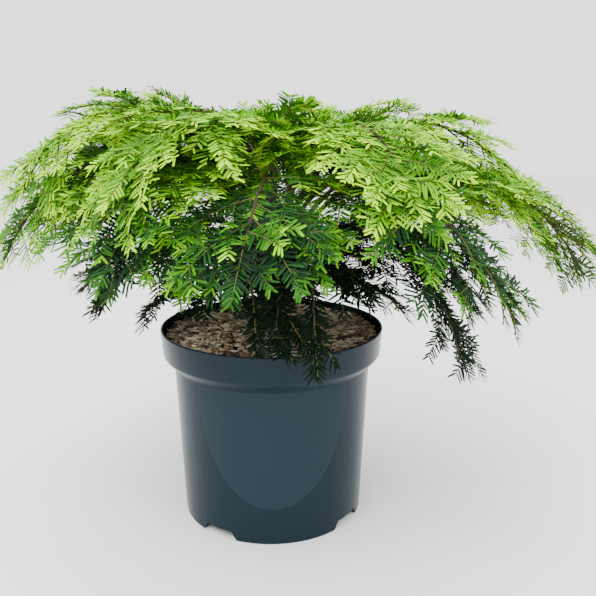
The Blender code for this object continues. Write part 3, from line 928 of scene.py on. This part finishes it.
def trunk_tube():
    """The trunk with its lobed flare, upright ridges and plates of bark."""
    shares = np.linspace(0.0, TRUNK_END, TRUNK_RINGS)
    heights = TRUNK_FOOT + shares * TRUNK_HEIGHT
    centres = np.array([np.asarray(trunk_centre(height)) + UP * height for height in heights])
    radii = np.array([trunk_radius(height) for height in heights])
    radii[-len(TRUNK_CAP):] *= TRUNK_CAP
    angles = 2.0 * math.pi * np.arange(TRUNK_SIDES) / TRUNK_SIDES
    fade = FLARE_DEPTH * np.clip(1.0 - shares, 0.0, 1.0) ** FLARE_FADE
    flare = 1.0 + fade[:, None] * np.cos(FLARE_LOBES * angles + FLARE_TURN)[None, :]
    noise = np.random.RandomState(TRUNK_SEED)
    ridges = noise.uniform(-1.0, 1.0, TRUNK_SIDES)[None, :] * RIDGE_DEPTH
    plates = noise.uniform(-1.0, 1.0, (len(shares), TRUNK_SIDES)) * PLATE_DEPTH
    side_a = np.tile([1.0, 0.0, 0.0], (len(shares), 1))
    side_b = np.tile([0.0, 1.0, 0.0], (len(shares), 1))
    return rings_to_tube(centres, side_a, side_b, radii, TRUNK_SIDES, flare + ridges + plates)


def make_wood(limbs):
    """The trunk and the limbs with the bark's relief."""
    bark = mottled_finish("bark_detail", BARK_DARK, BARK_PALE, BARK_SCALE, BARK_ROUGHNESS, BARK_BUMP)
    points, quads = trunk_tube()
    trunk = mesh_piece("trunk_bark", points, [quads], bark)
    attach(trunk, "root")
    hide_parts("trunk")
    points, quads = join_tubes([limb_tube(limb) for limb in limbs])
    boughs = mesh_piece("bough_bark", points, [quads], bark)
    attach(boughs, "root")
    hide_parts(*[f"bough_{limb.name}" for limb in limbs if limb.bare])


def needles_on(shoot, rule, tip_light):
    """The needles of a shoot, with young ones lighter by up to the tip's light, partly painted light.
    """
    count = max(FEWEST_NEEDLES, int(shoot.length / NEEDLE_SPACING))
    noise = np.random.RandomState(rule.randrange(NEEDLE_SEEDS))
    s = (np.arange(2 * count) // 2 + 0.5 + NEEDLE_STAGGER * (np.arange(2 * count) % 2)) / count
    s = np.clip(FIRST_NEEDLE + (1.0 - FIRST_NEEDLE) * s, 0.0, 1.0)
    hand = np.where(np.arange(2 * count) % 2, 1.0, -1.0)
    points, tangents = shoot.line(s)
    side = units(np.cross(tangents, shoot.up))
    over = np.cross(side, tangents)
    turn = NEEDLE_ANGLE - NEEDLE_TIP_TURN * s ** NEEDLE_TURN_POWER
    angle = np.radians(turn + noise.uniform(*NEEDLE_ANGLE_SPREAD, len(s)))
    lift = noise.uniform(*NEEDLE_LIFTS, len(s))
    top = noise.uniform(0.0, 1.0, len(s)) < TOP_NEEDLE_SHARE
    angle = np.where(top, np.radians(noise.uniform(*TOP_NEEDLE_ANGLES, len(s))), angle)
    lift = np.where(top, noise.uniform(*TOP_NEEDLE_LIFTS, len(s)), lift)
    towards = tangents * np.cos(angle)[:, None] + side * (hand * np.sin(angle))[:, None]
    towards = units(towards + over * lift[:, None])
    sizes = needle_sizes(s) * noise.uniform(*NEEDLE_LENGTH_SPREAD, len(s))
    sizes = sizes * np.where(top, TOP_NEEDLE_SIZE, 1.0)
    widths = NEEDLE_WIDTH * noise.uniform(*NEEDLE_WIDTH_SPREAD, len(s))
    young = np.clip((s - YOUNG_START) / (1.0 - YOUNG_START), 0.0, 1.0)
    light = tip_light * young + noise.uniform(*NEEDLE_LIGHTS, len(s))
    return Needles(points, towards, over, sizes, widths, light)


def needle_sizes(shares):
    """Lengths of the needles along a shoot: shorter at its root and towards its tip."""
    root = NEEDLE_ROOT_SIZE + (1.0 - NEEDLE_ROOT_SIZE) * np.minimum(1.0, NEEDLE_ROOT_GROWTH * shares)
    return NEEDLE_LENGTH * (1.0 - NEEDLE_TIP_LOSS * shares ** NEEDLE_LOSS_POWER) * root


def spray_light(limb, root):
    """How much light a spray gets: more towards the top and the outside of the crown."""
    light = LIGHT_BASE + LIGHT_BY_TIER * limb.light
    light += LIGHT_BY_HEIGHT * ((root[2] - LIGHT_HEIGHT) / LIGHT_HEIGHT_RANGE)
    light += LIGHT_BY_DISTANCE * (math.hypot(root[0], root[1]) / LIGHT_DISTANCE_RANGE)
    return light + LIGHT_BY_SIDE * (max(0.0, abs(root[0]) - LIGHT_SIDE) / LIGHT_SIDE_RANGE)


def shade_at(point):
    """How much light a shoot loses by hanging low in the middle of the crown."""
    depth = SHADE_DEPTH * max(0.0, SHADE_TOP - point[2])
    return depth * min(1.0, max(0.0, (SHADE_HALF_WIDTH - abs(point[0])) / SHADE_FADE))


class Crown:
    """All shoots of the crown: their tubes and their needles."""

    def __init__(self, limbs):
        self.tubes = []
        self.needles = []
        for limb in limbs:
            self.cover(limb)
            self.branch(limb)

    def add(self, limb, rule, shoot, radius, light):
        """Add a shoot and its needles."""
        self.tubes.append(shoot.tube(radius))
        # Painted light: the well-lit upper tiers get the larger lightening of their young tips
        tip_light = YOUNG_AND_LIT_LIGHT if limb.light > UPPER_TIER_LIGHT else YOUNG_LIGHT_BELOW
        needles = needles_on(shoot, rule, tip_light)
        shaded = needles.light + light - shade_at(needles.points[-1])
        self.needles.append(needles._replace(light=shaded))

    def cover(self, limb):
        """Add the shoots that end a limb, and those that cover its outer part with needles."""
        rule = random.Random(f"{limb.name}:tip")
        last = limb.last_share()
        for start in END_STARTS:
            ahead, _, up = limb.frame(last - start)
            root, tip = limb.points(np.array([last - start, last]))
            shoot = Shoot(root, ahead, up, float(np.linalg.norm(tip - root)), END_DROOP)
            self.add(limb, rule, shoot, END_RADIUS, spray_light(limb, tip) + LIMB_END_LIGHT)
        for share in np.arange(max(COVER_START, limb.bare), last - COVER_STOP, COVER_STEP):
            _, _, up = limb.frame(share)
            root, tip = limb.points(np.array([share, share + COVER_LENGTH]))
            shoot = Shoot(root, unit(tip - root), up, float(np.linalg.norm(tip - root)), 0.0)
            self.add(limb, rule, shoot, COVER_RADIUS, spray_light(limb, root))

    def branch(self, limb):
        """Add a limb's side twigs, each with its own side shoots."""
        for rule, twig in limb.twigs():
            light = spray_light(limb, twig.root) + rule.uniform(*TWIG_LIGHTS)
            if twig.in_window() and rule.random() < WINDOW_SHARE:
                continue
            twig = twig.fitted()
            if twig:
                self.add(limb, rule, twig, TWIG_RADIUS, light)
                self.branch_again(limb, rule, twig, light)

    def branch_again(self, limb, rule, twig, light):
        """Add the side shoots of a twig."""
        count = int((twig.length - SHOOT_FREE_END) / SHOOT_SPACING)
        for number in range(count):
            share = (number + 1.0) / (count + 1.0)
            points, tangents = twig.line(np.array([share]))
            side = unit(np.cross(tangents[0], twig.up))
            towards = sideways(rule, number, tangents[0], side, twig.up, SHOOT_ANGLES, SHOOT_LIFTS)
            length = twig.length * (SHOOT_ROOT_SIZE - SHOOT_SIZE_LOSS * share)
            length = length * rule.uniform(*SIZE_SPREAD)
            tone = light + rule.uniform(*SHOOT_LIGHTS)
            shoot = Shoot(points[0], towards, twig.up, length, SHOOT_DROOP).fitted()
            if shoot:
                self.add(limb, rule, shoot, SHOOT_RADIUS, tone)


def needle_mesh(needles):
    """Points, triangles and quads of folded needles with a narrow foot and a blunt tip."""
    side = units(np.cross(needles.towards, needles.over))
    face = np.cross(side, needles.towards)
    bend = -UP[None, :] * (NEEDLE_BEND * needles.sizes)[:, None]
    long = needles.towards * needles.sizes[:, None]
    wide = side * (0.5 * needles.widths)[:, None]
    fold = face * (NEEDLE_FOLD * needles.widths)[:, None]
    near = needles.points + NECK * long + NECK_BEND * bend
    far = needles.points + SHOULDER * long + SHOULDER_BEND * bend
    corners = [needles.points, near + wide, near + fold, near - wide]
    corners += [far + SHOULDER_WIDTH * wide, far + SHOULDER_FOLD * fold, far - SHOULDER_WIDTH * wide]
    corners.append(needles.points + long + bend)
    base = np.arange(len(needles.points))[:, None, None] * NEEDLE_POINTS
    triangles = (base + np.array(NEEDLE_TRIANGLES)[None]).reshape(-1, 3)
    quads = (base + np.array(NEEDLE_QUADS)[None]).reshape(-1, 4)
    return np.stack(corners, 1).reshape(-1, 3), triangles, quads


def make_twigs(tubes, names):
    """All shoots' tubes as one piece."""
    points, quads = join_tubes(tubes)
    finish = plain_finish("twig_bark", TWIG_COLOUR, TWIG_ROUGHNESS)
    twigs = mesh_piece("twigs", points, [quads], finish)
    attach(twigs, "root")
    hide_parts(*names)


def make_needles(needles, names):
    """The needles inside the crown's box, joined by shade into pieces of a limited size."""
    ends = needles.points + needles.towards * needles.sizes[:, None]
    kept = np.all((ends > CROWN_LOW) & (ends < CROWN_HIGH), axis=1)
    # Painted light and shade: each needle's light picks its colour, dark inside and low, pale on top
    shade = np.clip((needles.light * len(SHADES)).astype(int), 0, len(SHADES) - 1)
    for index, colour in enumerate(SHADES):
        chosen = np.nonzero(kept & (shade == index))[0]
        finish = plain_finish(f"needles_{index + 1}", colour, NEEDLE_ROUGHNESS, NEEDLE_GLOSS)
        for part, start in enumerate(range(0, len(chosen), NEEDLES_A_PIECE)):
            some = chosen[start:start + NEEDLES_A_PIECE]
            points, triangles, quads = needle_mesh(Needles(*(row[some] for row in needles)))
            name = f"needles_{index + 1}_{part + 1}"
            piece = mesh_piece(name, points, [triangles, quads], finish, smooth=False)
            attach(piece, "root")
            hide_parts(*names)


def make_foliage(limbs):
    """The twigs and the needles in place of the foliage masses."""
    crown = Crown(limbs)
    names = [f"foliage_{limb.name}" for limb in limbs]
    make_twigs(crown.tubes, names)
    make_needles(Needles(*map(np.concatenate, zip(*crown.needles))), names)


def area_light(name, place, target, size, power):
    """A square soft light aimed at a point."""
    lamp = bpy.data.lights.new(name, "AREA")
    lamp.size = size
    lamp.energy = power
    made = bpy.data.objects.new(name, lamp)
    made.location = place
    made.rotation_euler = (Vector(target) - Vector(place)).to_track_quat("-Z", "Y").to_euler()
    bpy.context.scene.collection.objects.link(made)


def make_floor():
    """A wide pale floor."""
    low = -STAGE_HALF
    high = STAGE_HALF
    points = [(low, low, 0.0), (high, low, 0.0), (high, high, 0.0), (low, high, 0.0)]
    finish = plain_finish("floor", STAGE_COLOUR, STAGE_ROUGHNESS)
    floor = mesh_piece("floor", points, [[(0, 1, 2, 3)]], finish)


def make_world():
    """Even white light from all round."""
    world = bpy.data.worlds.new("studio")
    world.use_nodes = True
    background = world.node_tree.nodes["Background"].inputs
    background["Color"].default_value = (*WORLD_COLOUR, 1.0)
    background["Strength"].default_value = WORLD_STRENGTH
    bpy.context.scene.world = world


def make_camera():
    """The camera at the photograph's viewing angle."""
    lens = bpy.data.cameras.new("camera")
    lens.lens = CAMERA_LENS
    lens.sensor_width = CAMERA_SENSOR
    camera = bpy.data.objects.new("camera", lens)
    camera.location = CAMERA_PLACE
    camera.rotation_euler = (0.5 * math.pi - CAMERA_PITCH, 0.0, -CAMERA_YAW)
    bpy.context.scene.collection.objects.link(camera)
    bpy.context.scene.camera = camera


def make_studio():
    """The floor, the lights and the camera."""
    make_floor()
    make_world()
    for name, settings in LIGHTS.items():
        area_light(name, *settings)
    make_camera()


all_limbs = [
    Limb(tier, number, sizes)
    for tier, sizes in TIERS.items()
    for number in range(sizes["count"])
]
make_studio()
make_pot()
finish_soil()
make_mulch()
make_wood(all_limbs)
make_foliage(all_limbs)
